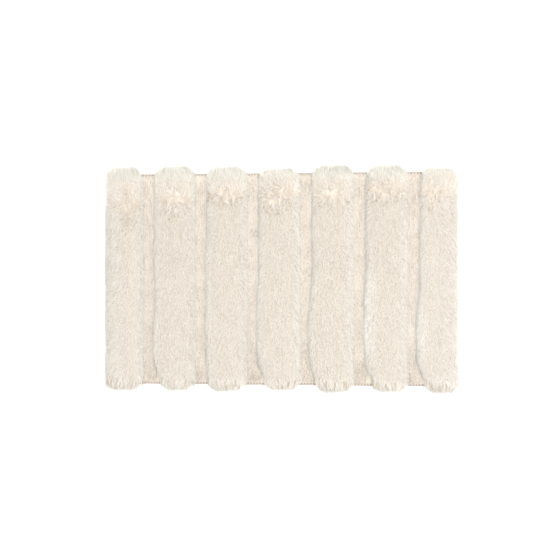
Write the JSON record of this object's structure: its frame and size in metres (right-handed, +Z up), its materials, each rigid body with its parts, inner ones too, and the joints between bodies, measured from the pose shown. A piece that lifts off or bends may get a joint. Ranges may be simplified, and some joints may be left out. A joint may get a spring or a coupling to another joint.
{
  "type": "bath mat",
  "caption": "Rectangular plush bath mat with tall pile ribs across its width, low-pile channels between them, a sewn binding round the edge and a rubbery anti-slip backing.",
  "frame": {"origin": "on the floor, at the middle of the mat's underside", "axes": "+X along the mat's long side, +Y along the ribs, +Z up from the floor"},
  "size_m": [0.881, 0.565, 0.0288],
  "materials": {
    "plush_pile": "matte",
    "low_pile": "matte",
    "ground_cloth": "matte",
    "anti_slip_rubber": "matte",
    "binding_tape": "matte",
    "sewing_thread": "satin"
  },
  "bodies": {
    "root": {"pile_rib_1": "plush_pile", "pile_rib_2": "plush_pile", "pile_rib_3": "plush_pile", "pile_rib_4": "plush_pile", "pile_rib_5": "plush_pile", "pile_rib_6": "plush_pile", "pile_rib_7": "plush_pile", "low_pile_channel_1": "low_pile", "low_pile_channel_2": "low_pile", "low_pile_channel_3": "low_pile", "low_pile_channel_4": "low_pile", "low_pile_channel_5": "low_pile", "low_pile_channel_6": "low_pile", "ground_fabric": "ground_cloth", "anti_slip_backing": "anti_slip_rubber", "edge_binding": "binding_tape", "needle_thread": "sewing_thread", "bobbin_thread": "sewing_thread"}
  },
  "joints": []
}
